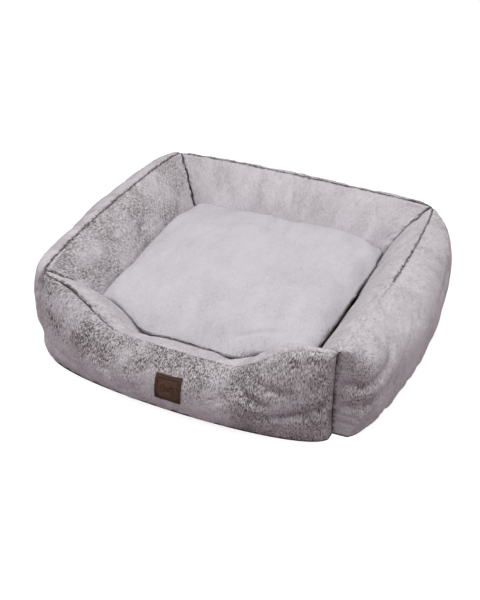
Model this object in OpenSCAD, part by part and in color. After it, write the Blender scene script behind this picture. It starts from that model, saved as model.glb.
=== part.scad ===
// Rectangular cushion bed for a cat or a small dog: four stuffed plush walls sewn round a
// padded base, a low entrance in the front wall, and a loose plush cushion in the well.
// +X is the bed's right, +Y its rear and +Z up. The origin is on the floor, at the centre.

/* [Walls] */
// Distance between the left and the right ridge seam
ridge_w = 560; // [500:5:660]
// Distance between the front and the rear ridge seam
ridge_d = 516; // [460:4:580]
// Height of the ridge seam at both rear corners
rear_h = 182; // [170:1:215]
// Height of the ridge seam at the front left corner
front_left_h = 178; // [165:1:205]
// Height of the ridge seam at the front right corner
front_right_h = 176; // [165:1:205]
// How far a wall leans in from its ridge down to the floor of the well
wall_lean = 90; // [86:1:105]
// How far the outer face stands out from the ridge at a corner seam
corner_reach = 7; // [6:1:14]

/* [Puff] */
// How much further the front wall's outer face swells half way along
front_puff = 38; // [25:1:50]
// How much further the right wall's outer face swells half way along
right_puff = 70; // [25:1:80]
// How much further the rear wall's outer face swells half way along
rear_puff = 28; // [20:1:50]
// How much further the left wall's outer face swells half way along
left_puff = 50; // [25:1:70]
// How far the front wall bows forward half way along
front_bow = 34; // [20:1:40]
// How far the side walls' ridges bow outward half way along
side_bow = 4; // [0:1:12]
// How much higher the left wall's ridge is half way along
left_arch = 18; // [0:1:25]
// How much higher the rear wall's ridge is half way along
rear_arch = 8; // [0:1:20]

/* [Entrance] */
// Height of the front wall at the entrance
entrance_h = 118; // [112:1:130]
// Width of the entrance, between the middles of its two slopes
entrance_w = 335; // [300:5:380]
// Length of each slope down to the entrance
entrance_slope = 140; // [100:5:150]

/* [Fabric] */
// Thickness of the plush, pile included
plush_t = 5; // [3:0.5:7]
// Thickness of the woven fabric under the bed
underside_t = 1.5; // [1:0.1:2]
// Thickness of the fabric on the floor of the well
floor_t = 2; // [1:0.1:3]
// Width of a sewn seam
seam_w = 1.6; // [1.2:0.1:2]

/* [Cushion] */
// Height of the floor of the well
floor_h = 30; // [22:1:36]
// Width of the cushion at its edge seam
cushion_w = 424; // [360:2:426]
// Depth of the cushion at its edge seam, before its front edge bows out
cushion_d = 396; // [320:2:398]
// How far forward of the well's middle the cushion sits
cushion_forward = 12; // [0:1:14]
// How far the middle of the cushion's front edge bows forward
cushion_bow = 30; // [0:1:31]
// Height of the cushion's edge seam above the floor
cushion_seam_h = 112; // [100:1:116]
// Height of the cushion's crown above the floor
cushion_crown_h = 154; // [135:1:160]
// Thickness of the cushion's cover
cover_t = 2.5; // [1.5:0.5:4]

/* [Label] */
// Side of the square leatherette label
label_w = 48; // [40:1:50]
// Thickness of the label
label_t = 1.6; // [1:0.1:2]
// Height of the label's middle above the floor
label_h = 75; // [73:1:78]

/* [Hidden] */
SIDES = ["front", "right", "rear", "left"];
CORNERS = ["front_left", "front_right", "rear_right", "rear_left"];

WALL_STEPS = 16;
FACE_STEPS = 8;
RIM_STEPS = 40;
DOME_STEPS = 6;
LABEL_STEPS = 6;

// Clearances: between sewn pieces, between a panel and its stuffing, between the stuffing and a
// corner seam, between the cushion and the floor of the well, and between the label and its wall
gap = 0.2;
fill_gap = 2.5;
fill_end_gap = 5;
body_gap = 0.4;
label_lift = 0.3;

// One stitch's length and thickness
stitch_l = 3;
stitch_t = 0.7;

// How square the cushion's corners are: 1 would make the rim an ellipse.
rim_square = 0.34;

// The hem stands on the underside fabric, and the outer face is widest above it.
hem_z = underside_t + gap;
widest = 0.4;
foot_angle = 58;
outer_round = 0.72;

// The walls are shared out round the bed so that the outermost faces are centred on the origin.
WALL_PUFF = [front_puff, right_puff, rear_puff, left_puff];
WALL_BOW = [front_bow, side_bow, 0, side_bow];
WALL_ARCH = [0, 0, rear_arch, left_arch];
CORNER_H = [front_left_h, front_right_h, rear_h, rear_h];
shift_x = (WALL_PUFF[3] + WALL_BOW[3] - WALL_PUFF[1] - WALL_BOW[1]) / 2;
shift_y = (WALL_PUFF[0] + WALL_BOW[0] - WALL_PUFF[2] - WALL_BOW[2]) / 2;
CORNER_AT = [for (at = [[-1, -1], [1, -1], [1, 1], [-1, 1]])
    [at[0] * ridge_w / 2 + shift_x, at[1] * ridge_d / 2 + shift_y]];

plush = "#c9c2c2";
plush_dark = "#a59c9d";
plush_light = "#d8d2d2";
stuffing = "#f1efec";
thread = "#8f8687";
leatherette = "#4f392f";
leather_thread = "#2f221d";
underside = "#5b5759";

function mix(a, b, s) = a * (1 - s) + b * s;
function ramp(x) = let (u = min(max(x, 0), 1)) u * u * (3 - 2 * u);
function reversed(list) = [for (k = [len(list) - 1 : -1 : 0]) list[k]];

// A place along a wall is an angle from 0 at its first corner to 180 at its second one.
function along(t) = (1 - cos(t)) / 2;

// 1 across the entrance, falling to 0 along its slopes
function entrance(s) =
    let (x = ridge_w * (s - 0.5))
    ramp((entrance_w / 2 - abs(x)) / entrance_slope + 0.5);

function ridge_h(wall, t) =
    let (
        s = along(t),
        full = mix(CORNER_H[wall], CORNER_H[(wall + 1) % 4], s) + WALL_ARCH[wall] * sin(t)
    )
    wall == 0 ? mix(full, entrance_h, entrance(s)) : full;

// A stuffed wall is pinched at its corner seams and swells out quickly beside them.
function swell(t) = pow(max(sin(t), 0), 0.65);

function reach(wall, t) = corner_reach + WALL_PUFF[wall] * swell(t);

// The exponent of the inner face's curve: 2 is a straight slope and 1 a quarter ellipse.
function inner_round(t) = 1.6 - 0.25 * swell(t);

// One point of a wall's outer face, as [distance out from the ridge, height]. The angle runs
// from minus foot_angle at the hem to 90 at the ridge, and depth is measured in from the face.
function outer_point(wall, t, angle, depth) =
    let (
        top = ridge_h(wall, t) - depth,
        out = reach(wall, t) - depth,
        belt = widest * top
    )
    angle < 0
        ? [out * pow(cos(angle), outer_round), mix(belt, hem_z, -sin(angle) / sin(foot_angle))]
        : [out * pow(cos(angle), outer_round), belt + (top - belt) * pow(sin(angle), outer_round)];

function outer_face(wall, t, depth) =
    [for (k = [0 : FACE_STEPS]) outer_point(wall, t, mix(-foot_angle, 90, k / FACE_STEPS), depth)];

// The inner face from the ridge down to the floor of the well
function inner_face(wall, t, depth) =
    let (rise = ridge_h(wall, t) - depth - floor_h, lean = wall_lean - depth, e = inner_round(t))
    [for (k = [0 : FACE_STEPS])
        let (angle = 90 * (1 - k / FACE_STEPS))
        [-lean * pow(cos(angle), e), floor_h + rise * pow(sin(angle), e)]];

// A section's point set in its place on the bed. The ends are mitred at the corners, end_gap
// short of them, and the whole section moves out with the wall's bow.
function place(wall, t, p, end_gap) =
    let (
        a = CORNER_AT[wall],
        b = CORNER_AT[(wall + 1) % 4],
        run = (b - a) / norm(b - a),
        out = [run[1], -run[0]],
        s = along(t),
        bow = WALL_BOW[wall] * sin(t),
        xy = a + (b - a) * s + run * ((2 * s - 1) * (p[0] - end_gap)) + out * (p[0] + bow)
    )
    [xy[0], xy[1], p[1]];

// A closed solid through rings of points, each ring a closed loop with the same number of points
module skin(rings) {
    n = len(rings[0]);
    last = len(rings) - 1;
    sides = [for (j = [0 : last - 1]) for (k = [0 : n - 1])
        let (a = j * n + k, b = j * n + (k + 1) % n)
        each [[a, b, a + n], [b, b + n, a + n]]];
    caps = [[for (k = [n - 1 : -1 : 0]) k], [for (k = [0 : n - 1]) last * n + k]];
    polyhedron([for (ring = rings) each ring], concat(sides, caps));
}

// A panel's section stops half a seam short of the ridge, outside it or inside it.
function keep_out(points) = [for (p = points) [max(p[0], seam_w / 2), p[1]]];
function keep_in(points) = [for (p = points) [min(p[0], -seam_w / 2), p[1]]];

module outer_panel(wall) {
    color(plush)
        skin([for (k = [0 : WALL_STEPS])
            let (t = 180 * k / WALL_STEPS)
            [for (p = keep_out(concat(outer_face(wall, t, 0), reversed(outer_face(wall, t, plush_t)))))
                place(wall, t, p, seam_w)]]);
}

module inner_panel(wall) {
    color(plush_dark)
        skin([for (k = [0 : WALL_STEPS])
            let (t = 180 * k / WALL_STEPS)
            [for (p = keep_in(concat(inner_face(wall, t, 0), reversed(inner_face(wall, t, plush_t)))))
                place(wall, t, p, seam_w)]]);
}

// The stuffing, which stands on the underside fabric and fills the wall behind both panels
module wall_fill(wall) {
    depth = plush_t + fill_gap;
    color(stuffing)
        skin([for (k = [0 : WALL_STEPS])
            let (
                t = 180 * k / WALL_STEPS,
                outer = outer_face(wall, t, depth),
                inner = inner_face(wall, t, depth),
                toe = [[-wall_lean + depth, hem_z]]
            )
            [for (p = concat(outer, [for (j = [1 : FACE_STEPS]) inner[j]], toe))
                place(wall, t, p, fill_end_gap)]]);
}

module ridge_seam(wall) {
    half = seam_w / 2 - gap;
    color(thread)
        skin([for (k = [0 : WALL_STEPS])
            let (t = 180 * k / WALL_STEPS, top = ridge_h(wall, t))
            [for (p = [[half, top - plush_t], [half, top], [-half, top], [-half, top - plush_t]])
                place(wall, t, p, seam_w)]]);
}

// A strip of seam in the mitre plane at a wall's first corner, between a face and its back
module corner_strip(wall, face, back) {
    a = CORNER_AT[wall];
    run = (CORNER_AT[(wall + 1) % 4] - a) / norm(CORNER_AT[(wall + 1) % 4] - a);
    across = [run[0] + run[1], run[1] - run[0], 0] * (seam_w / 2 - gap) / sqrt(2);
    color(thread)
        skin([for (k = [0 : len(face) - 1])
            let (front_p = place(wall, 0, face[k], 0), back_p = place(wall, 0, back[k], 0))
            [front_p + across, front_p - across, back_p - across, back_p + across]]);
}

// The outer strip stops one step short of the ridge, and the inner strip starts one step past it.
module outer_seam(wall) {
    face = outer_face(wall, 0, 0);
    back = outer_face(wall, 0, plush_t);
    corner_strip(wall, [for (k = [0 : FACE_STEPS - 1]) face[k]], [for (k = [0 : FACE_STEPS - 1]) back[k]]);
}

module inner_seam(wall) {
    face = inner_face(wall, 0, 0);
    back = inner_face(wall, 0, plush_t);
    corner_strip(wall, [for (k = [1 : FACE_STEPS]) face[k]], [for (k = [1 : FACE_STEPS]) back[k]]);
}

// A closed outline round the bed that runs along all four walls, a distance out from their ridges
function outline(outs) =
    [for (wall = [0 : 3]) for (k = [0 : WALL_STEPS - 1])
        let (p = place(wall, 180 * k / WALL_STEPS, [outs[wall][k], 0], 0))
        [p[0], p[1]]];

// The outline of the bed's foot, grown by an amount
function foot_outline(grow) =
    outline([for (wall = [0 : 3]) [for (k = [0 : WALL_STEPS - 1])
        outer_point(wall, 180 * k / WALL_STEPS, -foot_angle, 0)[0] + grow]]);

// The outline of the well's floor, shrunk by an amount
function well_outline(inset) =
    outline([for (wall = [0 : 3]) [for (k = [0 : WALL_STEPS - 1]) -wall_lean - inset]]);

module underside_fabric() {
    color(underside) linear_extrude(underside_t) polygon(foot_outline(0));
}

// The seam that joins the outer panels to the underside fabric, just inside its edge
module hem_seam() {
    color(thread)
        translate([0, 0, gap])
            linear_extrude(underside_t - gap)
                difference() {
                    polygon(foot_outline(gap + seam_w));
                    polygon(foot_outline(gap));
                }
}

module well_block(inset, z_low, z_high) {
    translate([0, 0, z_low]) linear_extrude(z_high - z_low) polygon(well_outline(inset));
}

module base_pad() {
    color(stuffing) well_block(gap, hem_z, floor_h - floor_t - gap);
}

module floor_panel() {
    color(plush_light) well_block(gap, floor_h - floor_t, floor_h);
}

module well_seam() {
    color(thread)
        difference() {
            well_block(seam_w, floor_h, floor_h + seam_w);
            well_block(2 * seam_w, floor_h - 1, floor_h + seam_w + 1);
        }
}

// A place on the label is measured along the wall and up from the label's middle.
function label_angle(z) =
    let (belt = widest * entrance_h, rise = (label_h + z - belt) / (entrance_h - belt))
    asin(pow(rise, 1 / outer_round));

function on_label(x, z, lift) =
    let (t = acos(-2 * x / ridge_w))
    place(0, t, outer_point(0, t, label_angle(z), -lift), 0);

module label_patch() {
    places = [for (k = [0 : LABEL_STEPS]) label_w * (k / LABEL_STEPS - 0.5)];
    color(leatherette)
        skin([for (x = places)
            concat(
                [for (z = places) on_label(x, z, label_lift + label_t)],
                [for (z = reversed(places)) on_label(x, z, label_lift)])]);
}

// One stitch lies flat on the label, turned about its own middle.
module stitch(x, z, turn) {
    lift = label_lift + label_t + gap + stitch_t;
    rise = on_label(x, z + 1, lift) - on_label(x, z - 1, lift);
    translate(on_label(x, z, lift))
        rotate([atan2(rise[2], rise[1]), 0, 0])
            rotate([0, 0, turn])
                cube([stitch_l, stitch_t, stitch_t], center = true);
}

module label_stitching() {
    line = label_w / 2 - stitch_l;
    count = floor(2 * line / (1.5 * stitch_l));
    color(leather_thread)
        for (k = [0 : count - 1]) {
            at = 2 * line * ((k + 0.5) / count - 0.5);
            for (side = [-1, 1]) {
                stitch(at, side * line, 0);
                stitch(side * line, at, 90);
            }
        }
}

// A place on the cushion is an angle round its rim and a fraction of the way out to the rim.
function signed_power(value, power) = sign(value) * pow(abs(value), power);

function rim_point(angle, inset) =
    let (
        x = signed_power(cos(angle), rim_square),
        y = signed_power(sin(angle), rim_square),
        bow = cushion_bow * max(0, -y) * (1 - x * x)
    )
    [x * (cushion_w / 2 - inset), y * (cushion_d / 2 - inset) - bow - cushion_forward];

function rim_outline(inset) =
    [for (k = [0 : RIM_STEPS - 1])
        let (p = rim_point(360 * k / RIM_STEPS, inset))
        [p[0] + shift_x, p[1] + shift_y]];

function crown_z(f, inset) =
    cushion_seam_h + (cushion_crown_h - cushion_seam_h - inset) * pow(1 - pow(f, 2.6), 0.55);

function belly_z(f, inset) =
    cushion_seam_h - gap
        - (cushion_seam_h - gap - floor_h - body_gap - inset) * pow(1 - pow(f, 4), 0.75);

// Rings of the cushion's crown or belly, from near its middle out to its rim
function rings_of(is_crown, inset) =
    [for (k = [0 : DOME_STEPS])
        let (f = sin(mix(8, 90, k / DOME_STEPS)), z = is_crown ? crown_z(f, inset) : belly_z(f, inset))
        [for (p = rim_outline(inset)) [(p[0] - shift_x) * f + shift_x, (p[1] - shift_y) * f + shift_y, z]]];

module cushion_top_cover() {
    color(plush_light) skin(concat(rings_of(true, 0), reversed(rings_of(true, cover_t))));
}

module cushion_bottom_cover() {
    color(plush_light) skin(concat(rings_of(false, cover_t), reversed(rings_of(false, 0))));
}

module cushion_fill() {
    inset = cover_t + gap;
    color(stuffing) skin(concat(rings_of(true, inset), reversed(rings_of(false, inset))));
}

module cushion_edge_seam() {
    color(thread)
        translate([0, 0, cushion_seam_h - seam_w / 2])
            linear_extrude(seam_w)
                difference() {
                    polygon(rim_outline(-gap - seam_w));
                    polygon(rim_outline(-gap));
                }
}

underside_fabric();
base_pad();
floor_panel();
hem_seam();
well_seam();
for (wall = [0 : 3]) {
    outer_panel(wall);
    inner_panel(wall);
    wall_fill(wall);
    ridge_seam(wall);
    outer_seam(wall);
    inner_seam(wall);
}
label_patch();
label_stitching();
cushion_top_cover();
cushion_bottom_cover();
cushion_fill();
cushion_edge_seam();
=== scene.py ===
import math
import bpy
import numpy as np
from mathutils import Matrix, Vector


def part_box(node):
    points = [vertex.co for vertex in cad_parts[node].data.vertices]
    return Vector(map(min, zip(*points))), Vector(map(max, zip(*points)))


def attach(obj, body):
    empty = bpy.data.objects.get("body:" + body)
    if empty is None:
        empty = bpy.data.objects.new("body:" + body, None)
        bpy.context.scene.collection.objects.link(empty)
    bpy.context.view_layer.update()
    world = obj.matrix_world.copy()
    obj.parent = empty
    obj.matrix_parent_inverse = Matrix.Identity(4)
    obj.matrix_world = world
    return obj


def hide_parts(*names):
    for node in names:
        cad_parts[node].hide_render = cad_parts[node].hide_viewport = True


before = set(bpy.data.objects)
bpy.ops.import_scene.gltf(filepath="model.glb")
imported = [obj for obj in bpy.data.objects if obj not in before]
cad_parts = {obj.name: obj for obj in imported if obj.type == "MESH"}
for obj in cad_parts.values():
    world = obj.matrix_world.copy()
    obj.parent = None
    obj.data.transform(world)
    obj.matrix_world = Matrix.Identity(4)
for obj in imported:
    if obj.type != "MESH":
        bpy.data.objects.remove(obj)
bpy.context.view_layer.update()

# ------------------------------- driving dimensions, in metres
MM = 0.001
PLUSH_T = 5 * MM            # the plush panels' thickness in the CAD model
END_GAP = 1.6 * MM          # how far a CAD ridge seam stops short of its corners
SEAM_HALF = 0.6 * MM        # half the width of a CAD ridge seam
CORNER_TUCK = 6 * MM        # how far the sewn corner is drawn in below its ridge
LEFT_ARCH = 18 * MM         # how much higher the left wall's ridge is half way along
ENTRANCE_W = 335 * MM       # between the middles of the entrance's two slopes
ENTRANCE_SLOPE = 140 * MM
SETTLED = 8 * MM            # how far the stuffing has settled at the entrance
RIGHT_BULGE = 12 * MM       # how much further out the right wall's ridge bows than its CAD seam
CREST_REACH = 45 * MM       # how far from a ridge the stuffing still lifts the fabric
FOOT_ANGLE = math.radians(58)
OUTER_ROUND = 0.72          # exponent of the outer face's curve: 1 is a plain quarter ellipse

SIM_CELL = 8 * MM           # spacing of the grid that the cloth simulation moves
REFINE = 5                  # how many times finer the finished grid is
SECTION_POINTS = 60         # in a wall's section, before its grid is spaced evenly
OUTER_ROWS = 34             # the rows of a wall's outer and inner grids
INNER_ROWS = 25
SIM_FRAMES = 20
SIM_CAP = 9 * MM            # the furthest the simulation may move a point
WALL_SLACK = 0.02           # how much larger the fabric is cut than its grid, as a share
WALL_PRESSURE = 1.2
CUSHION_SLACK = 0.025
CUSHION_PRESSURE = 1.0


def low(node):
    return np.array(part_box(node)[0])


def high(node):
    return np.array(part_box(node)[1])


left_x = low("rear_ridge_seam")[0] - END_GAP
right_x = high("rear_ridge_seam")[0] + END_GAP
front_y = low("left_ridge_seam")[1] - END_GAP
rear_y = high("left_ridge_seam")[1] + END_GAP
front_left_h = low("left_ridge_seam")[2] + PLUSH_T
front_right_h = low("right_ridge_seam")[2] + PLUSH_T
rear_h = low("rear_ridge_seam")[2] + PLUSH_T
rear_arch = high("rear_ridge_seam")[2] - rear_h
entrance_h = low("front_ridge_seam")[2] + PLUSH_T - SETTLED
floor_z = high("floor_panel")[2]
side_bow = left_x - low("left_ridge_seam")[0] - SEAM_HALF
front_bow = front_y - low("front_ridge_seam")[1] - SEAM_HALF
wall_lean = low("floor_panel")[0] - left_x + side_bow
hem_z = high("underside_fabric")[2]

CORNERS = {
    "front_left": np.array([left_x, front_y]),
    "front_right": np.array([right_x, front_y]),
    "rear_right": np.array([right_x, rear_y]),
    "rear_left": np.array([left_x, rear_y]),
}
CORNER_H = {
    "front_left": front_left_h,
    "front_right": front_right_h,
    "rear_right": rear_h,
    "rear_left": rear_h,
}


class Wall:
    """One stuffed wall, from its first corner to its second, anticlockwise round the bed."""

    def __init__(self, name, first, second, widest_face, bow, arch=0, extra=0,
                 crest_out=2 * MM, crest_in=((0, 2), (1, 2)), blunt=(0.7, 0.7), skew=1, widest=0.4,
                 mitre=(1, 1), shown=((0, 1), (1, 1))):
        self.name = name
        self.a = CORNERS[first]
        self.b = CORNERS[second]
        self.height = (CORNER_H[first], CORNER_H[second])
        self.length = float(np.linalg.norm(self.b - self.a))
        self.run = (self.b - self.a) / self.length
        self.out = np.array([self.run[1], -self.run[0]])
        self.bow = bow                  # how far the ridge bows out half way along
        self.arch = arch                # how far it rises half way along
        self.reach = abs(widest_face - float(self.a @ self.out)) - bow + extra
        self.crest_out = crest_out      # how far the stuffing lifts the fabric outside the ridge
        self.crest_in = crest_in        # places along the wall, and the same inside it, in mm
        self.blunt = blunt              # exponent of the swelling at each corner: low is blunt
        self.skew = skew                # below 1 the wall is fullest nearer to its first corner
        self.widest = widest            # the share of its height at which it is widest
        self.mitre = mitre              # how far the swelling reaches past each corner's seam, 0 to 1
        self.shown = shown              # places along the wall, and how far its ridge seam shows there

    def swell(self, t):
        """How far the stuffing has filled out the wall, from 0 at a corner seam to 1."""
        s = ((1 - np.cos(t)) / 2).clip(0, 1)
        around = np.arccos(1 - 2 * s**self.skew)
        return np.sin(around).clip(0) ** mix(*self.blunt, s)

    def seam_shown(self, s):
        """How far the ridge seam is pulled down into the pile, and how much painted shade darkens the
        pile along the panel's seams, from 0, hidden, to 1.
        """
        return np.interp(s, *np.transpose(self.shown))

    def inner_crest(self, s):
        """How far the stuffing lifts the fabric inside the ridge."""
        return np.interp(s, *np.transpose(self.crest_in)) * MM


WALLS = [
    Wall("front", "front_left", "front_right", -low("front_outer_panel")[1], front_bow,
         crest_out=4 * MM, crest_in=((0, 9), (0.24, 9), (0.36, 4), (0.68, 4), (0.84, 13), (1, 13)),
         blunt=(0.85, 0.6), mitre=(1, 0.3),
         shown=((0, 1), (0.26, 1), (0.34, 0.25), (0.95, 0.2), (1, 0.35))),
    Wall("right", "front_right", "rear_right", high("right_outer_panel")[0], side_bow + RIGHT_BULGE,
         extra=5 * MM, crest_out=7 * MM, crest_in=((0, 17), (1, 2)), blunt=(0.7, 1.0), skew=0.74,
         mitre=(0.1, 1), shown=((0, 0.3), (0.04, 0), (0.32, 0.05), (0.5, 0.9), (1, 1))),
    Wall("rear", "rear_right", "rear_left", high("rear_outer_panel")[1], 0, rear_arch,
         crest_out=6 * MM, blunt=(0.65, 0.85)),
    Wall("left", "rear_left", "front_left", -low("left_outer_panel")[0], side_bow, LEFT_ARCH,
         crest_out=7 * MM, blunt=(0.9, 0.8), widest=0.5),
]


# ------------------------------- noise and small helpers
def mix(a, b, t):
    return a * (1 - t) + b * t


def ramp(x):
    x = np.clip(x, 0, 1)
    return x * x * (3 - 2 * x)


def noise(x, y, seed):
    """Smooth noise from 0 to 1 on a lattice of spacing 1."""
    size = 128
    table = np.random.default_rng(seed).random((size, size))
    x0 = np.floor(x).astype(int)
    y0 = np.floor(y).astype(int)
    fx = ramp(x - x0)
    fy = ramp(y - y0)
    x0, x1 = x0 % size, (x0 + 1) % size
    y0, y1 = y0 % size, (y0 + 1) % size
    return mix(mix(table[x0, y0], table[x1, y0], fx), mix(table[x0, y1], table[x1, y1], fx), fy)


def layered(x, y, seed, octaves=3):
    """Noise with finer octaves added, still from 0 to 1."""
    total = 0
    weight = 0
    for k in range(octaves):
        total = total + noise(x * 2**k, y * 2**k, seed + 31 * k) / 2**k
        weight += 1 / 2**k
    return total / weight


def refine(grid, times):
    """A grid of points made finer along both of its directions, on smooth cubic curves."""
    for axis in (0, 1):
        p = np.moveaxis(grid, axis, 0)
        p = np.concatenate([2 * p[:1] - p[1:2], p, 2 * p[-1:] - p[-2:-1]])
        pieces = []
        for k in range(times):
            t = k / times
            pieces.append(
                0.5
                * (
                    2 * p[1:-2]
                    + (p[2:-1] - p[:-3]) * t
                    + (2 * p[:-3] - 5 * p[1:-2] + 4 * p[2:-1] - p[3:]) * t**2
                    + (3 * p[1:-2] - p[:-3] - 3 * p[2:-1] + p[3:]) * t**3
                )
            )
        fine = np.stack(pieces, 1).reshape(-1, *p.shape[1:])
        grid = np.moveaxis(np.concatenate([fine, p[-2:-1]]), 0, axis)
    return grid


def normals_of(grid):
    """Unit normals of a grid of points, on the side where its columns turn left into its rows."""
    n = np.cross(np.gradient(grid, axis=1), np.gradient(grid, axis=0))
    return n / np.maximum(np.linalg.norm(n, axis=-1, keepdims=True), 1e-12)


def metric(grid):
    """Distance along the columns and down the rows of a grid, averaged so that it stays smooth."""
    du = np.linalg.norm(np.diff(grid, axis=1), axis=-1).mean(0)
    dv = np.linalg.norm(np.diff(grid, axis=0), axis=-1).mean(1)
    u = np.concatenate([[0], np.cumsum(du)])
    v = np.concatenate([[0], np.cumsum(dv)])
    return np.meshgrid(u, v)


# ------------------------------- the walls' smooth shape
def ridge_height(wall, s, t):
    full = mix(wall.height[0], wall.height[1], s) + wall.arch * np.sin(t)
    if wall.name != "front":
        return full
    x = wall.length * (s - 0.5)
    return mix(full, entrance_h, ramp((ENTRANCE_W / 2 - abs(x)) / ENTRANCE_SLOPE + 0.5))


def crest(wall, s, away, height):
    """How much the stuffing lifts the fabric beside a ridge seam, and over it where it is hidden."""
    swell = wall.swell(np.arccos(1 - 2 * s))
    q = np.clip(away / CREST_REACH, 0, 1)
    beside = height * np.sin(math.pi * q) * (1 - q) * 1.6
    hidden = (1 - wall.seam_shown(s)) * np.minimum(wall.crest_out, wall.inner_crest(s))
    return (beside + hidden * (1 - q / 0.35).clip(0) ** 2) * swell


def outer_section(wall, s):
    """Points of the outer face from the hem up to the ridge, as distances out and heights."""
    t = np.arccos(1 - 2 * s)
    h = ridge_height(wall, s, t)
    reach = (wall.reach + CORNER_TUCK) * wall.swell(t) - CORNER_TUCK
    angle = np.linspace(-FOOT_ANGLE, math.pi / 2, SECTION_POINTS)[:, None]
    c = np.cos(angle).clip(0) ** OUTER_ROUND
    sine = np.sin(angle)
    belt = wall.widest * h
    up = belt + (h - belt) * sine.clip(0) ** OUTER_ROUND
    down = mix(belt, hem_z, (-sine / math.sin(FOOT_ANGLE)).clip(0, 1))
    out = reach * c
    return out, np.where(angle > 0, up + crest(wall, s, out, wall.crest_out), down)


def inner_section(wall, s):
    """Points of the inner face from the ridge down to the floor of the well."""
    t = np.arccos(1 - 2 * s)
    rise = ridge_height(wall, s, t) - floor_z
    e = 1.6 - 0.25 * wall.swell(t)
    angle = np.linspace(math.pi / 2, 0, SECTION_POINTS)[:, None]
    out = -wall_lean * np.cos(angle).clip(0) ** e
    lift = crest(wall, s, -out, wall.inner_crest(s))
    return out, floor_z + rise * np.sin(angle).clip(0) ** e + lift


def place(wall, s, out, z):
    """Points of a wall's sections in their places on the bed, mitred at the corners."""
    bow = wall.bow * np.sin(np.arccos(1 - 2 * s))
    first = mix(out[:, :1], out, wall.mitre[0])
    second = mix(out[:, -1:], out, wall.mitre[1])
    along = s * wall.length - (1 - 2 * s).clip(0) * first + (2 * s - 1).clip(0) * second
    xy = wall.a + along[..., None] * wall.run + (out + bow)[..., None] * wall.out
    return np.concatenate([xy, z[..., None]], -1)


def evenly(points, rows):
    """A grid whose rows are the same distance apart down every column."""
    grid = np.empty((rows, points.shape[1], 3))
    for c in range(points.shape[1]):
        col = points[:, c]
        d = np.concatenate([[0], np.cumsum(np.linalg.norm(np.diff(col, axis=0), axis=1))])
        at = np.linspace(0, d[-1], rows)
        for k in range(3):
            grid[:, c, k] = np.interp(at, d, col[:, k])
    return grid


def wall_grids(wall):
    """The outer face's grid, from the hem to the ridge, and the inner face's, from there down."""
    cols = int(wall.length / SIM_CELL) + 9
    u = np.linspace(0, 1, cols)
    s = mix(u, (1 - np.cos(math.pi * u)) / 2, 0.5)
    grids = []
    for section, rows in ((outer_section, OUTER_ROWS), (inner_section, INNER_ROWS)):
        out, z = section(wall, s)
        grids.append(evenly(place(wall, np.broadcast_to(s, out.shape), out, z), rows))
    return grids


# ------------------------------- the cushion's smooth shape
RIM_SQUARE = 8.0            # exponent of the superellipse that the cushion's rim follows
PULLED_IN = 0.98            # how much of its width the cushion keeps between its corners
WELL_FIT = 14 * MM          # how much further than its CAD solid it would reach with no walls
CLEARANCE = 3 * MM          # how far it stays from them
EAR_DROP = 8 * MM           # how far its corners hang below the middle of its sides
FRONT_DROP = 20 * MM        # how far its front edge hangs
CUSHION_BOW = 30 * MM       # how far the middle of its front edge bows forward
CROWDING = 1.35             # how much its grid's lines crowd towards the rim: 0 is evenly
HELD_BELOW = 4 * MM         # how far below its seam the crown is held against the walls
WELL_LEVELS = 40            # the heights at which the walls' inner faces are sampled
cushion_lo = low("cushion_top_cover")
cushion_hi = high("cushion_top_cover")
seam_z = cushion_lo[2]
crown_z = cushion_hi[2]
belly_z = low("cushion_bottom_cover")[2]
cushion_half = np.array([cushion_hi[0] - cushion_lo[0], cushion_hi[1] - cushion_lo[1] - CUSHION_BOW]) / 2
cushion_mid = np.array([(cushion_lo[0] + cushion_hi[0]) / 2, cushion_hi[1] - cushion_half[1]])


def cushion_grid(is_crown):
    """The upper or the lower cover as a square grid stretched to the rim."""
    cells = [2 * int(half / SIM_CELL) + 3 for half in cushion_half]
    px, py = np.meshgrid(*[np.sin(np.linspace(-1, 1, n) * CROWDING) / math.sin(CROWDING) for n in cells])
    f = np.maximum(abs(px), abs(py))
    angle = np.arctan2(py, px)
    ear = abs(np.sin(2 * angle)) ** 3
    far = (abs(np.cos(angle)) ** RIM_SQUARE + abs(np.sin(angle)) ** RIM_SQUARE) ** (-1 / RIM_SQUARE)
    x = f * far * np.cos(angle) * mix(PULLED_IN, 1, ear)
    y = f * far * np.sin(angle) * mix(PULLED_IN, 1, ear)
    half = cushion_half + WELL_FIT
    xy = np.stack([x * half[0], y * half[1] - CUSHION_BOW * (-y).clip(0) * (1 - x * x)], -1)
    xy = relaxed(xy, 12)
    edge_z = seam_z - EAR_DROP * ear - FRONT_DROP * (-np.sin(angle)).clip(0) ** 2
    z = (
        edge_z + (crown_z - edge_z) * (1 - f**2.2).clip(0) ** 0.6
        if is_crown
        else edge_z - (edge_z - belly_z) * (1.3 * (1 - f**2.5)).clip(0, 1)
    )
    grid = np.concatenate([xy + cushion_mid, z[..., None]], -1)
    return grid if is_crown else grid[:, ::-1]


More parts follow.
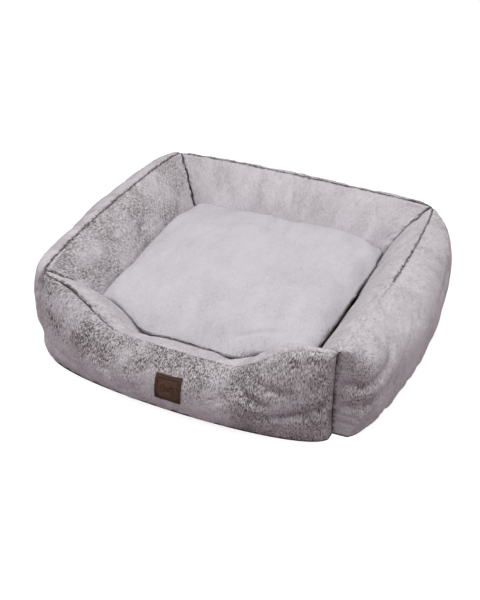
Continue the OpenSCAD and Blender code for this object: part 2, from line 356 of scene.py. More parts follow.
def within_well(grid, inner_grids):
    """The cushion's grid drawn in wherever it would reach closer to a wall than its clearance.

    Its crown is held as its rim is, so that it doesn't spread further where the walls lean away."""
    grid = grid.copy()
    points = grid.reshape(-1, 3)
    levels = np.linspace(floor_z, rear_h, WELL_LEVELS)
    held_at = points[:, 2].clip(floor_z, seam_z - HELD_BELOW)
    level = ((held_at - floor_z) / (levels[1] - levels[0])).round().astype(int)
    for wall, inner in zip(WALLS, inner_grids):
        face = []
        for column in np.moveaxis(inner, 1, 0):
            rising = column[column[:, 2].argmax():][::-1]
            face.append([np.interp(levels, rising[:, 2], rising[:, k]) for k in (0, 1)])
        face = np.array(face) - wall.a[:, None]
        along = np.einsum("cks,k->sc", face, wall.run)
        limit = np.einsum("cks,k->sc", face, wall.out)
        at = (points[:, :2] - wall.a) @ wall.run
        furthest = np.array([np.interp(at, *row) for row in zip(along, limit)])
        beyond = (points[:, :2] - wall.a) @ wall.out - furthest[level, np.arange(len(points))] + CLEARANCE
        points[:, :2] -= beyond.clip(0)[:, None] * wall.out
    points[:, 2] = points[:, 2].clip(belly_z)
    return grid


def relaxed(grid, rounds):
    """A grid whose inner points are drawn towards their neighbours, with its edge kept."""
    grid = grid.copy()
    for _ in range(rounds):
        inner = (grid[:-2, 1:-1] + grid[2:, 1:-1] + grid[1:-1, :-2] + grid[1:-1, 2:]) / 4
        grid[1:-1, 1:-1] = mix(grid[1:-1, 1:-1], inner, 0.5)
    return grid


# ------------------------------- cloth simulation
def grid_faces(rows, cols):
    r, c = np.meshgrid(np.arange(rows - 1), np.arange(cols - 1), indexing="ij")
    first = (r * cols + c).ravel()
    return np.stack([first, first + 1, first + cols + 1, first + cols], 1)


def mesh_from(name, points, faces):
    mesh = bpy.data.meshes.new(name)
    mesh.from_pydata(points.tolist(), [], [list(face) for face in faces])
    mesh.update()
    return mesh


def add_object(name, data):
    obj = bpy.data.objects.new(name, data)
    bpy.context.scene.collection.objects.link(obj)
    return obj


def smooth_object(name, points, faces):
    mesh = mesh_from(name, points, faces)
    mesh.shade_smooth()
    return add_object(name, mesh)


def cloth(grid, pinned, slack, pressure):
    """A simulated sheet of fabric on a grid, stuffed from behind and held where it is pinned."""
    obj = add_object("cloth", mesh_from("cloth", grid.reshape(-1, 3), grid_faces(*grid.shape[:2])))
    group = obj.vertex_groups.new(name="pin")
    group.add(np.flatnonzero(pinned.ravel()).tolist(), 1.0, "REPLACE")
    settings = obj.modifiers.new("Cloth", "CLOTH").settings
    settings.quality = 7
    settings.mass = 0.15
    settings.tension_stiffness = 20
    settings.compression_stiffness = 20
    settings.shear_stiffness = 6
    settings.bending_stiffness = 0.35
    settings.tension_damping = 12
    settings.compression_damping = 12
    settings.shear_damping = 8
    settings.air_damping = 3
    settings.shrink_min = -slack
    settings.use_pressure = True
    settings.uniform_pressure_force = pressure
    settings.vertex_group_mass = "pin"
    settings.effector_weights.gravity = 0
    return obj


def simulated(jobs):
    """The sheets' grids after one simulation. Each job is what cloth() takes for one sheet."""
    scene = bpy.context.scene
    sheets = [cloth(*job) for job in jobs]
    for number in range(1, SIM_FRAMES + 1):
        scene.frame_set(number)
    graph = bpy.context.evaluated_depsgraph_get()
    results = []
    for sheet, job in zip(sheets, jobs):
        grid = job[0]
        moved = sheet.evaluated_get(graph).to_mesh()
        co = np.empty(len(moved.vertices) * 3)
        moved.vertices.foreach_get("co", co)
        step = co.reshape(grid.shape) - grid
        size = np.linalg.norm(step, axis=-1, keepdims=True)
        results.append(grid + step * SIM_CAP / np.sqrt(SIM_CAP**2 + size**2))
        bpy.data.objects.remove(sheet)
    scene.frame_set(1)
    return results


def rim_pins(grid):
    """Which points of a grid are held: those on its rim."""
    pinned = np.zeros(grid.shape[:2], bool)
    pinned[[0, -1]] = True
    pinned[:, [0, -1]] = True
    return pinned


def simulate_all():
    """The settled grids of every wall's outer and inner face and of the cushion's two covers."""
    jobs = []
    for wall in WALLS:
        outer, inner = wall_grids(wall)
        whole = np.concatenate([outer, inner[1:]])
        pinned = rim_pins(whole)
        pinned[len(outer) - 1] = True
        jobs.append((whole, pinned, WALL_SLACK, WALL_PRESSURE))
    faces = [wall_grids(wall)[1] for wall in WALLS]
    for is_crown in (True, False):
        grid = within_well(cushion_grid(is_crown), faces)
        jobs.append((grid, rim_pins(grid), CUSHION_SLACK, CUSHION_PRESSURE))
    results = simulated(jobs)
    grids = {}
    for wall, result in zip(WALLS, results):
        ridge = len(wall_grids(wall)[0])
        grids[wall.name + "_outer"] = result[:ridge]
        grids[wall.name + "_inner"] = result[ridge - 1:]
    faces = [grids[wall.name + "_inner"] for wall in WALLS]
    for name, result in zip(("cushion_crown", "cushion_belly"), results[-2:]):
        grids[name] = relaxed(within_well(result, faces), 8)
    return grids


# ------------------------------- creases and pile
STRAY = 16 * MM             # how far the pile's lay strays
STRAY_SIZE = (45 * MM, 45 * MM)
LOCK_SIZE = (2.4 * MM, 6 * MM)      # the pile's locks, tufts, brushed streaks and parted patches
TUFT_SIZE = (6 * MM, 12 * MM)
BRUSHED_SIZE = (20 * MM, 55 * MM)
PATCH_SIZE = (60 * MM, 50 * MM)
LUMP_SIZE = (100 * MM, 80 * MM)     # the stuffing's lumps under the fabric
TONE_SIZE = (50 * MM, 50 * MM)
PUCKER_SIZE = (12 * MM, 50 * MM)
PUCKER_DEPTH = 1.4 * MM
SEAM_SINK = 2.4 * MM        # how far a shown seam is pulled down, and half the width of its furrow
SKIN_T = 4 * MM             # how far a panel's backing lies behind its front


def crease(u, v, start, end, sag, depth, width):
    """A fold pressed into the fabric from start to end, bowed by sag, as a height.

    A place along the panel that is below 0 is counted back from the panel's far end."""
    start, end = (np.array([p[0] + u.max() if p[0] < 0 else p[0], p[1]]) for p in (start, end))
    run = end - start
    length = np.linalg.norm(run)
    run = run / length
    side = np.array([-run[1], run[0]])
    along = (u - start[0]) * run[0] + (v - start[1]) * run[1]
    t = (along / length).clip(0, 1)
    across = (u - start[0]) * side[0] + (v - start[1]) * side[1] - sag * 4 * t * (1 - t)
    beyond = np.maximum(np.maximum(-along, along - length), 0)
    d = np.hypot(across, beyond)
    fade = np.sin(math.pi * (0.08 + 0.84 * t)) ** 0.6
    valley = np.exp(-((d / width) ** 2))
    lips = np.exp(-(((d - 2.6 * width) / (2 * width)) ** 2))
    return depth * fade * (0.22 * lips - valley)


def speckle(u, v, size, seed, octaves):
    """Layered noise whose spots have a size in metres, across and along."""
    return layered(u / size[0], v / size[1], seed, octaves)


def pile(u, v, seed, parted):
    """The plush's pile: its height, how bright its tips are, how far it is parted, and its lay."""
    across = u + STRAY * (speckle(u, v, STRAY_SIZE, seed, 2) - 0.5)
    along = v + STRAY * (speckle(u, v, STRAY_SIZE, seed + 7, 2) - 0.5)
    fine = speckle(across, along, LOCK_SIZE, seed + 1, 1)
    tuft = speckle(across, along, TUFT_SIZE, seed + 2, 2)
    brushed = speckle(across, along, BRUSHED_SIZE, seed + 5, 2)
    patchy = ramp((speckle(u, v, PATCH_SIZE, seed + 3, 3) - 0.16) / 0.5)
    parting = parted * mix(patchy, 1, 0.3)
    height = (
        (0.4 + 0.7 * parting) * MM * (tuft - 0.5)
        + (0.3 + 1.2 * parting) * MM * (fine - 0.5)
        + 0.9 * MM * (brushed - 0.5)
    )
    tip = 0.5 + (0.1 + 0.18 * parting) * (tuft - 0.5) + (0.08 + 0.2 * parting) * (fine - 0.5)
    tip += 0.2 * (brushed - 0.5)
    return height, tip.clip(0, 1), parting, across, along


def near(distance, reach):
    return np.exp(-((distance / reach) ** 2))


def edge_distance(u, v):
    """Distance from each point of a panel to its nearest sewn edge."""
    return np.minimum(np.minimum(u, u.max() - u), np.minimum(v, v.max() - v))


def puckers(along_seam, away, seed):
    """Small gathers that run out from a seam into the panel."""
    gathers = speckle(along_seam, away, PUCKER_SIZE, seed, 2) - 0.5
    return PUCKER_DEPTH * gathers * near(away - 4 * MM, 13 * MM)


def store(obj, label, values, behind):
    """Keeps a number for each point of a piece's front, and one for all that lies behind it."""
    data = np.full(len(obj.data.vertices), float(behind))
    data[:values.size] = values.ravel()
    obj.data.attributes.new(label, "FLOAT", "POINT").data.foreach_set("value", data)


def store_places(obj, label, places):
    """Keeps a place in the pile for each point of a piece's front."""
    data = np.zeros((len(obj.data.vertices), 3))
    data[:places.size // 3] = places.reshape(-1, 3)
    obj.data.attributes.new(label, "FLOAT_VECTOR", "POINT").data.foreach_set("vector", data.ravel())


def plush_piece(name, grid, seed, parting, creases, nodes, body, material, shown=1, lumps=5 * MM):
    """One panel of plush as a closed skin: fine pile in front and a plain backing behind.

    Shown is how far the seams are pulled into the pile, and how much painted shade darkens the pile along
    them, for all of it or for each column."""
    smooth = refine(grid, REFINE)
    u, v = metric(smooth)
    normal = normals_of(smooth)
    edge = edge_distance(u, v)
    height, tip, parted, across, along = pile(u, v, seed, np.clip(parting(u, v), 0, 1))
    for fold in creases:
        height = height + crease(u, v, *fold)
    height += 2 * lumps * (speckle(u, v, LUMP_SIZE, seed + 6, 2) - 0.5) * ramp(edge / (35 * MM))
    for far, near_by in ((u, v), (u, v.max() - v), (v, u), (v, u.max() - u)):
        height += shown * puckers(far, near_by, seed + 11)
    tufted = noise((u + v) / (5 * MM), (u - v) / (5 * MM), seed + 21)
    sunk = shown * (0.3 + 1.4 * tufted) * near(edge, SEAM_SINK)
    height = height * ramp((edge + 1 * MM) / (4 * MM)) - SEAM_SINK * sunk
    # Painted shade: where a seam shows, the pile's tips are darkened in broken flecks within about 3 mm
    # of the panel's edge, standing in for the shade in the seam's furrow.
    tip = (tip - 0.7 * shown * ramp((tufted - 0.2) / 0.4) * near(edge, 3 * MM)).clip(0, 1)
    front = smooth + normal * height[..., None]
    obj = shell(name, front, front - normal * SKIN_T * ramp(edge / (8 * MM))[..., None])
    tone = speckle(u, v, TONE_SIZE, seed + 9, 3)
    for label, values in (("tip", tip), ("parted", parted), ("tone", tone)):
        store(obj, label, values, behind=0.5)
    store_places(obj, "weave", np.stack([across, along, np.full(u.shape, seed * 0.37)], -1))
    finish_piece(obj, nodes, body, material)


def shell(name, front, back, every=REFINE):
    """A closed mesh of a front grid, a back grid of every few of its points and a joining strip."""
    rows, cols = front.shape[:2]
    coarse = back[::every, ::every]
    b_rows, b_cols = coarse.shape[:2]
    start = rows * cols
    faces = grid_faces(rows, cols).tolist()
    faces += (grid_faces(b_rows, b_cols)[:, ::-1] + start).tolist()
    index = np.arange(start).reshape(rows, cols)
    b_index = np.arange(b_rows * b_cols).reshape(b_rows, b_cols) + start
    rims = [
        (index[0], b_index[0], False),
        (index[-1], b_index[-1], True),
        (index[:, 0], b_index[:, 0], True),
        (index[:, -1], b_index[:, -1], False),
    ]
    for fine, wide, forward in rims:
        for k in range(len(wide) - 1):
            face = [*fine[k * every: (k + 1) * every + 1], wide[k + 1], wide[k]]
            faces.append([int(i) for i in (face if forward else face[::-1])])
    return smooth_object(name, np.concatenate([front.reshape(-1, 3), coarse.reshape(-1, 3)]), faces)


def finish_piece(obj, nodes, body, material):
    obj.data.materials.append(material)
    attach(obj, body)
    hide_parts(*nodes)


# ------------------------------- materials
class Nodes:
    """A short way to build a node material."""

    def __init__(self, name):
        self.material = bpy.data.materials.new(name)
        self.material.use_nodes = True
        self.tree = self.material.node_tree
        self.shader = self.tree.nodes["Principled BSDF"]

    def add(self, kind, **settings):
        node = self.tree.nodes.new(kind)
        for key, value in settings.items():
            if key[0] == "_":
                setattr(node, key[1:], value)
            else:
                node.inputs[key.replace("_", " ")].default_value = value
        return node

    def link(self, source, target):
        self.tree.links.new(source, target)

    def attribute(self, name):
        return self.add("ShaderNodeAttribute", _attribute_name=name)

    def math(self, operation, a, b, clamp=False):
        node = self.add("ShaderNodeMath", _operation=operation, _use_clamp=clamp)
        for socket, value in zip(node.inputs, (a, b)):
            if isinstance(value, (int, float)):
                socket.default_value = value
            else:
                self.link(value, socket)
        return node.outputs[0]

    def scaled(self, value, scale, offset):
        return self.math("ADD", self.math("MULTIPLY", value, scale), offset)

    def ramp(self, factor, stops):
        node = self.add("ShaderNodeValToRGB")
        ramp_stops = node.color_ramp.elements
        for _ in range(len(stops) - 2):
            ramp_stops.new(0.5)
        for element, (position, color) in zip(ramp_stops, stops):
            element.position = position
            element.color = (*color, 1)
        self.link(factor, node.inputs["Fac"])
        return node.outputs["Color"]

    def noise(self, vector, scale, detail=2.0, stretch=(1, 1, 1)):
        mapping = self.add("ShaderNodeMapping", Scale=stretch)
        self.link(vector, mapping.inputs["Vector"])
        node = self.add("ShaderNodeTexNoise", Scale=scale, Detail=detail)
        self.link(mapping.outputs[0], node.inputs["Vector"])
        return node.outputs["Fac"]

    def bump(self, height, strength, distance):
        node = self.add("ShaderNodeBump", Strength=strength, Distance=distance)
        self.link(height, node.inputs["Height"])
        self.link(node.outputs["Normal"], self.shader.inputs["Normal"])

    def surface(self, **values):
        for key, value in values.items():
            self.shader.inputs[key.replace("_", " ")].default_value = value


def plush_material(name, root, deep, middle, tip):
    """Short plush: dark between the parted tufts, silvery at their tips, with fine fibres."""
    n = Nodes(name)
    weave = n.attribute("weave").outputs["Vector"]
    parted = n.attribute("parted").outputs["Fac"]
    fibre = n.noise(weave, 640, 2, (1, 0.3, 1))
    fleck = n.noise(weave, 260, 2, (1, 0.5, 1))
    stroke = n.math("MULTIPLY", n.math("SUBTRACT", fibre, 0.5), n.scaled(parted, 2.7, 0.5))
    clump = n.math("MULTIPLY", n.math("SUBTRACT", fleck, 0.5), n.scaled(parted, 0.7, 0.15))
    level = n.math("ADD", n.attribute("tip").outputs["Fac"], stroke)
    level = n.math("ADD", level, clump)
    level = n.math("ADD", level, n.scaled(n.attribute("tone").outputs["Fac"], 0.16, 0.1))
    level = n.math("SUBTRACT", level, n.math("MULTIPLY", parted, 0.34), clamp=True)
    color = n.ramp(level, [(0.02, root), (0.34, deep), (0.56, middle), (0.78, tip)])
    n.link(color, n.shader.inputs["Base Color"])
    n.bump(n.math("ADD", fibre, n.math("MULTIPLY", fleck, 0.8)), 0.5, 0.001)
    n.surface(Roughness=0.95, Specular_IOR_Level=0.12, Sheen_Weight=0.12, Sheen_Roughness=0.5)
    return n.material


def plain_cloth_material(name, dark, light, scale):
    """Plain woven cloth, with its threads crossing."""
    n = Nodes(name)
    place_at = n.add("ShaderNodeTexCoord").outputs["Object"]
    threads = []
    for direction in ("X", "Y"):
        wave = n.add("ShaderNodeTexWave", _bands_direction=direction, Scale=scale, Distortion=0.6)
        n.link(place_at, wave.inputs["Vector"])
        threads.append(wave.outputs["Fac"])
    weave = n.math("MULTIPLY", *threads)
    blotch = n.noise(place_at, 60, 3)
    level = n.math("ADD", n.math("MULTIPLY", weave, 0.6), n.math("MULTIPLY", blotch, 0.4))
    n.link(n.ramp(level, [(0.15, dark), (0.8, light)]), n.shader.inputs["Base Color"])
    n.bump(weave, 0.4, 0.0006)
    n.surface(Roughness=0.9, Specular_IOR_Level=0.2, Sheen_Weight=0.15)
    return n.material


def leather_material(name, burnt, dark, light):
    """Leatherette with a fine pebbled grain, darkest in its tooled grooves."""
    n = Nodes(name)
    place_at = n.add("ShaderNodeTexCoord").outputs["Object"]
    cells = n.add("ShaderNodeTexVoronoi", Scale=900, _feature="DISTANCE_TO_EDGE")
    n.link(place_at, cells.inputs["Vector"])
    grain = n.math("MULTIPLY", cells.outputs["Distance"], 2.2, clamp=True)
    blotch = n.noise(place_at, 110, 4)
    level = n.math("SUBTRACT", blotch, n.math("MULTIPLY", n.attribute("groove").outputs["Fac"], 0.5))
    n.link(n.ramp(level, [(0.0, burnt), (0.3, dark), (0.7, light)]), n.shader.inputs["Base Color"])
    n.bump(n.math("ADD", grain, n.math("MULTIPLY", blotch, 0.6)), 0.45, 0.0005)
    n.surface(Roughness=0.55, Specular_IOR_Level=0.4)
    return n.material


# ------------------------------- seams, lining, underside, label
STITCH_SPACING = 1.2 * MM   # between the points of a seam's path, and of a slab's rim
SLAB_SPACING = 4 * MM
SLAB_RINGS = 69             # from a slab's middle to its rim
LINING_T = 8 * MM


def tube(name, path, radius, closed=False, sides=6, stitch=3.6 * MM):
    """A sewn line: a thin cord whose thickness swells at every stitch."""
    ahead = np.roll(path, -1, 0) - np.roll(path, 1, 0) if closed else np.gradient(path, axis=0)
    ahead /= np.maximum(np.linalg.norm(ahead, axis=1, keepdims=True), 1e-12)
    side = np.cross(ahead, [0, 0, 1.0]) + np.cross(ahead, [1e-3, 0, 0])
    side /= np.linalg.norm(side, axis=1, keepdims=True)
    up = np.cross(side, ahead)
    far = np.concatenate([[0], np.cumsum(np.linalg.norm(np.diff(path, axis=0), axis=1))])
    thick = radius * (0.8 + 0.2 * np.cos(2 * math.pi * far / stitch))
    angle = 2 * math.pi * np.arange(sides) / sides
    ring = np.cos(angle)[:, None] * side[:, None] + np.sin(angle)[:, None] * up[:, None]
    points = path[:, None] + ring * thick[:, None, None]
    count = len(path)
    faces = []
    for k in range(count if closed else count - 1):
        for j in range(sides):
            a, b = k * sides + j, k * sides + (j + 1) % sides
            c, d = (k + 1) % count * sides + (j + 1) % sides, (k + 1) % count * sides + j
            faces.append([a, b, c, d])
    if not closed:
        faces.append(list(range(sides))[::-1])
        faces.append([(count - 1) * sides + j for j in range(sides)])
    return smooth_object(name, points.reshape(-1, 3), faces)


def along_edge(grid, edge, spacing=STITCH_SPACING):
    """Evenly spaced points along one edge of a panel's grid."""
    path = refine(grid, 2)[edge]
    far = np.concatenate([[0], np.cumsum(np.linalg.norm(np.diff(path, axis=0), axis=1))])
    at = np.linspace(0, far[-1], int(far[-1] / spacing))
    return np.stack([np.interp(at, far, path[:, k]) for k in range(3)], 1)


def joined_edges(grids, face, row, spacing):
    """One closed path along the first or last row of all four walls' grids."""
    return np.concatenate([along_edge(grids[wall.name + face], row, spacing)[:-1] for wall in WALLS])


LABEL_W = 48 * MM
LABEL_T = 1.8 * MM
LABEL_LIFT = 2.2 * MM       # how far it is held off the fabric's smooth face by the pile
LABEL_BACK = 2.5 * MM       # how far behind that its back reaches, into the pile
LABEL_CELLS = 60
BORDER_INSET = 6 * MM       # from its edge to its tooled border, and to its line of stitches
STITCH_INSET = 2.4 * MM
STITCHES_A_SIDE = 11
STITCH_POINTS = 9
LABEL_Z = (low("label_patch")[2] + high("label_patch")[2]) / 2 - SETTLED
LABEL_RISE = 0.92           # how far a place on the label rises for each unit up it


def on_front(grid, x, z):
    """The point of the front wall's outer face at a place x along it and a height z."""
    columns = grid[:, :, 0].mean(0)
    place_x = np.interp(x, columns, np.arange(len(columns)))
    left = int(place_x)
    line = mix(grid[:, left], grid[:, left + 1], place_x - left)
    top = int(line[:, 2].argmax())
    return np.array([np.interp(z, line[:top, 2], line[:top, k]) for k in range(3)])


def label_surface(grid, x, y, lift):
    """Points of the label: x across it and y up it, from its middle, raised by lift."""
    points = np.empty((*x.shape, 3))
    normal = np.empty_like(points)
    step = 2 * MM
    for at in np.ndindex(x.shape):
        px, pz = x[at], LABEL_Z + LABEL_RISE * y[at]
        points[at] = on_front(grid, px, pz)
        across = on_front(grid, px + step, pz) - on_front(grid, px - step, pz)
        up = on_front(grid, px, pz + step) - on_front(grid, px, pz - step)
        n = np.cross(across, up)
        normal[at] = n / np.linalg.norm(n)
    return points + normal * lift[..., None]


def bone(x, y):
    """Distance outside a plain bone shape: a bar with two round knobs at each end."""
    bar = np.maximum(abs(x) - 8 * MM, abs(y) - 2.2 * MM)
    knobs = np.hypot(abs(x) - 9 * MM, abs(y) - 2.8 * MM) - 3.4 * MM
    return np.minimum(bar, knobs)


def make_label(grid, leather):
    """The leatherette patch on the front wall, with a tooled border and a bone."""
    side = np.linspace(-0.5, 0.5, LABEL_CELLS + 1) * LABEL_W
    x, y = np.meshgrid(side, side)
    rim = LABEL_W / 2 - np.maximum(abs(x), abs(y))
    groove = near(rim - BORDER_INSET, 0.7 * MM) + near(bone(x, y), 0.8 * MM)
    pressed = near(rim - STITCH_INSET, 1.0 * MM)
    puffed = LABEL_T - 0.8 * MM * (1 - rim / (1.6 * MM)).clip(0, 1) ** 2
    front = puffed - 0.6 * MM * groove - 0.2 * MM * pressed
    back = np.full(x.shape, LABEL_LIFT - LABEL_BACK)
    faces = [label_surface(grid, x, y, lift) for lift in (LABEL_LIFT + front, back)]
    obj = shell("leatherette_label", *faces, every=1)
    store(obj, "groove", groove.clip(0, 1), behind=0)
    finish_piece(obj, ["label_patch"], "bed_shell", leather)


def make_label_thread(grid, thread):
    """The stitches round the label, each one arched out of its face and plain in thickness."""
    line = LABEL_W / 2 - STITCH_INSET
    pitch = 2 * line / STITCHES_A_SIDE
    edge = np.full(STITCH_POINTS, line)
    arch = 0.5 * MM * np.cos(np.linspace(-1, 1, STITCH_POINTS) * 1.3)
    lift = LABEL_LIFT + LABEL_T - 0.2 * MM + arch
    verts, faces = [], []
    for k in range(STITCHES_A_SIDE):
        at = -line + (k + 0.5) * pitch + np.linspace(-0.38, 0.38, STITCH_POINTS) * pitch
        for x, y in ((at, edge), (at, -edge), (edge, at), (-edge, at)):
            stitch = tube("stitch", label_surface(grid, x, y, lift), 0.42 * MM, stitch=1)
            start = len(verts)
            verts += [list(v.co) for v in stitch.data.vertices]
            faces += [[i + start for i in p.vertices] for p in stitch.data.polygons]
            bpy.data.objects.remove(stitch)
    obj = smooth_object("label_thread", np.array(verts), faces)
    finish_piece(obj, ["label_stitching"], "bed_shell", thread)


def slab(name, rim, low_z, high_z, relief):
    """A flat sheet cut to a rim, its top lowered by a relief that depends on the place."""
    shares = np.linspace(0, 1, SLAB_RINGS + 1)[1:]
    rings = np.stack([mix(rim.mean(0), rim, share) for share in shares])
    top, bottom = rings.copy(), rings.copy()
    top[..., 2] = high_z - relief(rings[..., 0], rings[..., 1])
    bottom[..., 2] = low_z
    layers = np.concatenate([top, bottom[::-1]])
    count = len(rim)
    faces = []
    for r in range(len(layers) - 1):
        for c in range(count):
            d = (c + 1) % count
            faces.append([r * count + c, r * count + d, (r + 1) * count + d, (r + 1) * count + c][::-1])
    faces.append(list(range(count)))
    faces.append([(len(layers) - 1) * count + c for c in range(count)][::-1])
    return add_object(name, mesh_from(name, layers.reshape(-1, 3), faces))


def make_underside(grids, material):
    """The woven fabric that the bed stands on, cut to the foot of the walls."""
    rim = joined_edges(grids, "_outer", 0, SLAB_SPACING)
    obj = slab("underside_cloth", rim, 0, hem_z, lambda x, y: 0 * x)
    finish_piece(obj, ["underside_fabric"], "bed_shell", material)


def floor_relief(x, y):
    """How far the floor lining dips between its low lumps and its streaks."""
    lumps = layered(x / (50 * MM) + 9, y / (50 * MM) + 9, 77)
    return 1.8 * MM * lumps + 0.8 * MM * layered(x / (12 * MM), y / (30 * MM), 78)


def make_floor_lining(grids, material):
    """The lining on the floor of the well, soft over the pad beneath it."""
    rim = joined_edges(grids, "_inner", -1, SLAB_SPACING)
    obj = slab("floor_lining", rim, floor_z - LINING_T, floor_z, floor_relief)
    finish_piece(obj, ["floor_panel", "base_pad"], "bed_shell", material)


# ------------------------------- the panels
def front_outer_parting(u, v):
    """Parted just below the ridge, in tufts near the front right corner, and throughout the end towards
    that corner, where the darker pile is partly painted shade.
    """
    below = v.max() - v
    back = u.max() - u
    band = 1.1 * near(below - 36 * MM, 52 * MM) * mix(1, 0.45, ramp((120 * MM - back) / (60 * MM)))
    tufts = 0.95 * near(np.hypot(back - 150 * MM, below - 60 * MM), 65 * MM)
    # Partly painted shade: the end towards the front right corner is parted throughout, which darkens the
    # pile's colour there as well as roughening it.
    corner = 0.6 * ramp((200 * MM - back) / (60 * MM))
    return 0.12 + np.maximum(np.maximum(band, tufts), corner)


def right_outer_parting(u, v):
    """Parted near its front end, above the hem."""
    return 0.12 + 0.6 * near(u, 70 * MM) * ramp(v / (90 * MM))


def left_inner_parting(u, v):
    """Parted under the ridge, more than at the floor of the well."""
    return 0.1 + 0.42 * ramp((150 * MM - v) / (60 * MM))


def cushion_parting(u, v):
    """Ruffled pile along the cushion's edge at its front right corner."""
    corner = ramp((u - 290 * MM) / (50 * MM)) * ramp((140 * MM - v) / (50 * MM))
    return 0.06 + 0.9 * corner * near(edge_distance(u, v) - 4 * MM, 12 * MM)


def even_parting(amount):
    return lambda u, v: np.full(u.shape, amount)


# Each panel's parted places, and its creases, in metres: from one place to another, the sag
# between them, and the depth and half width. A place is along the panel, or back from its far end
# if that is below 0, and up from the hem on an outer panel or down from the ridge on an inner one.
PANELS = {
    "front_outer": (front_outer_parting, [
        ((-0.190, 0.132), (-0.128, 0.080), -8 * MM, 8 * MM, 7 * MM),
        ((-0.164, 0.142), (-0.100, 0.098), -7 * MM, 6 * MM, 7 * MM),
        ((-0.150, 0.062), (-0.008, 0.088), -15 * MM, 9 * MM, 8 * MM),
        ((0.04, 0.06), (0.17, 0.05), -8 * MM, 3 * MM, 8 * MM),
    ]),
    "front_inner": (even_parting(0.15), []),
    "right_outer": (right_outer_parting, [
        ((0.012, 0.125), (0.130, 0.165), -14 * MM, 6 * MM, 9 * MM),
        ((0.012, 0.075), (0.100, 0.110), -8 * MM, 5 * MM, 9 * MM),
        ((0.30, 0.10), (0.44, 0.13), 10 * MM, 3 * MM, 9 * MM),
    ]),
    "right_inner": (even_parting(0.12), []),
    "rear_outer": (even_parting(0.3), []),
    "rear_inner": (even_parting(0.04), []),
    "left_outer": (even_parting(0.12), []),
    "left_inner": (left_inner_parting, [
        ((0.16, 0.03), (0.25, 0.10), 10 * MM, 3 * MM, 7 * MM),
        ((0.30, 0.05), (0.37, 0.12), -8 * MM, 3 * MM, 7 * MM),
    ]),
}


def make_panels(grids, material):
    """The eight plush panels of the walls."""
    for number, (name, (parting, creases)) in enumerate(PANELS.items()):
        side, face = name.split("_")
        nodes = [f"{side}_{face}_panel"] + ([f"{side}_fill"] if face == "outer" else [])
        wall = next(w for w in WALLS if w.name == side)
        shown = wall.seam_shown(np.linspace(0, 1, (grids[name].shape[1] - 1) * REFINE + 1))
        plush_piece(f"{side}_{face}_plush", grids[name], 100 + 10 * number, parting, creases,
                    nodes, "bed_shell", material, shown)


def make_wall_seams(grids, thread):
    """The stitching of the ridges, the corners, the hem and the well."""
    for wall, corner in zip(WALLS, CORNERS):
        outer, inner = grids[wall.name + "_outer"], grids[wall.name + "_inner"]
        ridge = along_edge(outer, -1)
        ridge[:, 2] -= (0.3 + 4 * (1 - wall.seam_shown(np.linspace(0, 1, len(ridge))))) * MM
        lines = [
            (f"{wall.name}_ridge_stitching", ridge, f"{wall.name}_ridge_seam"),
            (f"{corner}_outer_stitching", along_edge(outer, (slice(None), 0)), f"{corner}_outer_seam"),
            (f"{corner}_inner_stitching", along_edge(inner, (slice(None), 0)), f"{corner}_inner_seam"),
        ]
        for name, path, node in lines:
            obj = tube(name, path, 0.5 * MM)
            finish_piece(obj, [node], "bed_shell", thread)
    for name, face, row, lift in (("hem", "_outer", 0, 0.8 * MM), ("well", "_inner", -1, 0.4 * MM)):
        path = joined_edges(grids, face, row, STITCH_SPACING)
        path[:, 2] += lift
        obj = tube(name + "_stitching", path, 0.8 * MM, closed=True)
        finish_piece(obj, [name + "_seam"], "bed_shell", thread)


def make_cushion(grids, material, thread):
    """The loose cushion: its crown, its underside and the stitching round its edge."""
    crown, belly = grids["cushion_crown"], grids["cushion_belly"]
    dents = [
        ((0.12, 0.30), (0.24, 0.34), 12 * MM, 3 * MM, 16 * MM),
        ((0.24, 0.10), (0.33, 0.17), -8 * MM, 3 * MM, 16 * MM),
        ((0.30, 0.03), (0.38, 0.05), 5 * MM, 2.5 * MM, 5 * MM),
        ((0.33, 0.06), (0.41, 0.09), 5 * MM, 2 * MM, 5 * MM),
    ]
    plush_piece("cushion_crown_plush", crown, 300, cushion_parting, dents,
                ["cushion_top_cover", "cushion_fill"], "cushion", material, lumps=9 * MM)
    plush_piece("cushion_belly_plush", belly, 320, even_parting(0.12), [],
                ["cushion_bottom_cover"], "cushion", material)
    rim = np.concatenate([
        along_edge(crown, 0)[:-1],
        along_edge(crown, (slice(None), -1))[:-1],
        along_edge(crown, -1)[::-1][:-1],
        along_edge(crown, (slice(None), 0))[::-1][:-1],
    ])
    obj = tube("cushion_edge_stitching", rim, 0.9 * MM, closed=True)
    finish_piece(obj, ["cushion_edge_seam"], "cushion", thread)


# ------------------------------- camera, light and floor
AZIMUTH = math.radians(25.3)
ELEVATION = math.radians(34.2)
AIM = (0.010, -0.055, 0.09)
DISTANCE = 1.87
FLOOR_HALF = 30             # half the floor's width, so far that its end is never seen

# Each softbox: its place, what it faces, its width and height, and its power in watts.
LIGHTS = {
    "top": ((0.2, -0.6, 2.3), (0, 0, 0.1), (1.6, 1.6), 31),
    "left": ((-1.5, -1.2, 1.5), (0, 0.1, 0.1), (1.2, 1.0), 9),
    "right": ((1.9, 0.6, 1.6), (0, 0, 0.1), (1.2, 1.2), 10),
    "rear": ((-0.6, 2.2, 1.2), (0, 0, 0.1), (1.2, 1.0), 6),
}


def make_camera():
    level = math.cos(ELEVATION)
    back = Vector((math.sin(AZIMUTH) * level, -math.cos(AZIMUTH) * level, math.sin(ELEVATION)))
    camera = add_object("camera", bpy.data.cameras.new("camera"))
    camera.data.lens = 60
    camera.data.sensor_width = 36
    camera.location = Vector(AIM) + back * DISTANCE
    camera.rotation_euler = back.to_track_quat("Z", "Y").to_euler()
    bpy.context.scene.camera = camera


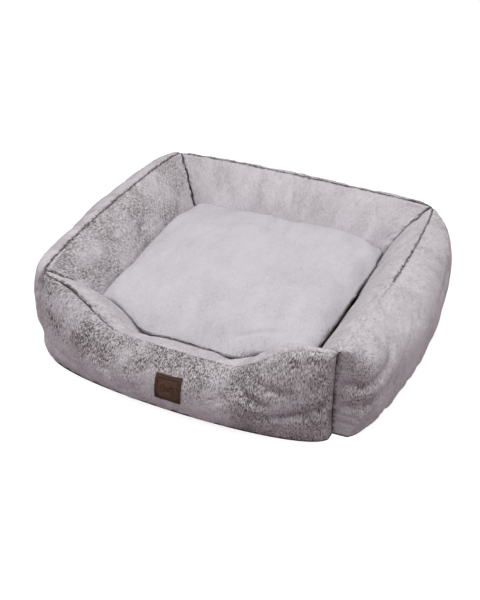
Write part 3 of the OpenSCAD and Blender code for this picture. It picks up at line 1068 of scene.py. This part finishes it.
def softbox(name, place_at, aim, size, power):
    light = add_object(name, bpy.data.lights.new(name, "AREA"))
    light.data.shape = "RECTANGLE"
    light.data.size, light.data.size_y = size
    light.data.energy = power
    light.location = place_at
    light.rotation_euler = (Vector(place_at) - Vector(aim)).to_track_quat("Z", "Y").to_euler()


def make_world():
    """Soft light from all round, with a white backdrop where the camera sees it."""
    world = bpy.data.worlds.new("studio")
    world.use_nodes = True
    tree = world.node_tree
    tree.nodes["Background"].inputs["Color"].default_value = (1, 0.9, 0.94, 1)
    tree.nodes["Background"].inputs["Strength"].default_value = 0.16
    seen_white = tree.nodes.new("ShaderNodeBackground")
    seen_white.inputs["Color"].default_value = (1, 1, 1, 1)
    both = tree.nodes.new("ShaderNodeMixShader")
    tree.links.new(tree.nodes.new("ShaderNodeLightPath").outputs["Is Camera Ray"], both.inputs[0])
    tree.links.new(tree.nodes["Background"].outputs[0], both.inputs[1])
    tree.links.new(seen_white.outputs[0], both.inputs[2])
    tree.links.new(both.outputs[0], tree.nodes["World Output"].inputs["Surface"])
    bpy.context.scene.world = world
    bpy.context.scene.view_settings.view_transform = "Standard"


def make_floor():
    """A plain floor that takes soft shadows and looks nearly white to the camera."""
    n = Nodes("pale_floor")
    n.surface(Base_Color=(0.5, 0.43, 0.455, 1), Roughness=0.9, Specular_IOR_Level=0.1)
    white = n.add("ShaderNodeEmission", Strength=0.85)
    both = n.add("ShaderNodeAddShader")
    seen = n.add("ShaderNodeMixShader")
    n.link(n.shader.outputs[0], both.inputs[0])
    n.link(white.outputs[0], both.inputs[1])
    n.link(n.add("ShaderNodeLightPath").outputs["Is Camera Ray"], seen.inputs[0])
    n.link(n.shader.outputs[0], seen.inputs[1])
    n.link(both.outputs[0], seen.inputs[2])
    n.link(seen.outputs[0], n.tree.nodes["Material Output"].inputs["Surface"])
    corners = FLOOR_HALF * np.array([[-1, -1, 0], [1, -1, 0], [1, 1, 0], [-1, 1, 0]], float)
    floor = add_object("floor", mesh_from("floor", corners, [[0, 1, 2, 3]]))
    floor.data.materials.append(n.material)


# Each material's colours, in linear light, from its darkest to its lightest.
PLUSH = ((0.12, 0.1, 0.102), (0.33, 0.295, 0.3), (0.58, 0.547, 0.57), (0.75, 0.715, 0.752))
CUSHION_PLUSH = ((0.25, 0.23, 0.235), (0.46, 0.44, 0.455), (0.64, 0.62, 0.65), (0.73, 0.71, 0.75))
SEAM_THREAD = ((0.12, 0.105, 0.105), (0.3, 0.27, 0.27))
LINING = ((0.45, 0.43, 0.43), (0.62, 0.6, 0.6))
UNDERSIDE = ((0.03, 0.03, 0.032), (0.12, 0.11, 0.115))
LEATHER = ((0.012, 0.006, 0.004), (0.07, 0.034, 0.019), (0.14, 0.072, 0.04))
LEATHER_THREAD = ((0.02, 0.012, 0.01), (0.05, 0.03, 0.022))


def main():
    make_camera()
    make_world()
    for name, values in LIGHTS.items():
        softbox(name, *values)
    make_floor()
    plush = plush_material("plush", *PLUSH)
    cushion_plush = plush_material("cushion_plush", *CUSHION_PLUSH)
    thread = plain_cloth_material("seam_thread", *SEAM_THREAD, 900)
    lining = plain_cloth_material("lining", *LINING, 500)
    under = plain_cloth_material("underside", *UNDERSIDE, 400)
    leather = leather_material("leatherette", *LEATHER)
    leather_thread = plain_cloth_material("leather_thread", *LEATHER_THREAD, 1500)
    grids = simulate_all()
    make_panels(grids, plush)
    make_wall_seams(grids, thread)
    make_cushion(grids, cushion_plush, thread)
    make_label(grids["front_outer"], leather)
    make_label_thread(grids["front_outer"], leather_thread)
    make_underside(grids, under)
    make_floor_lining(grids, lining)


main()
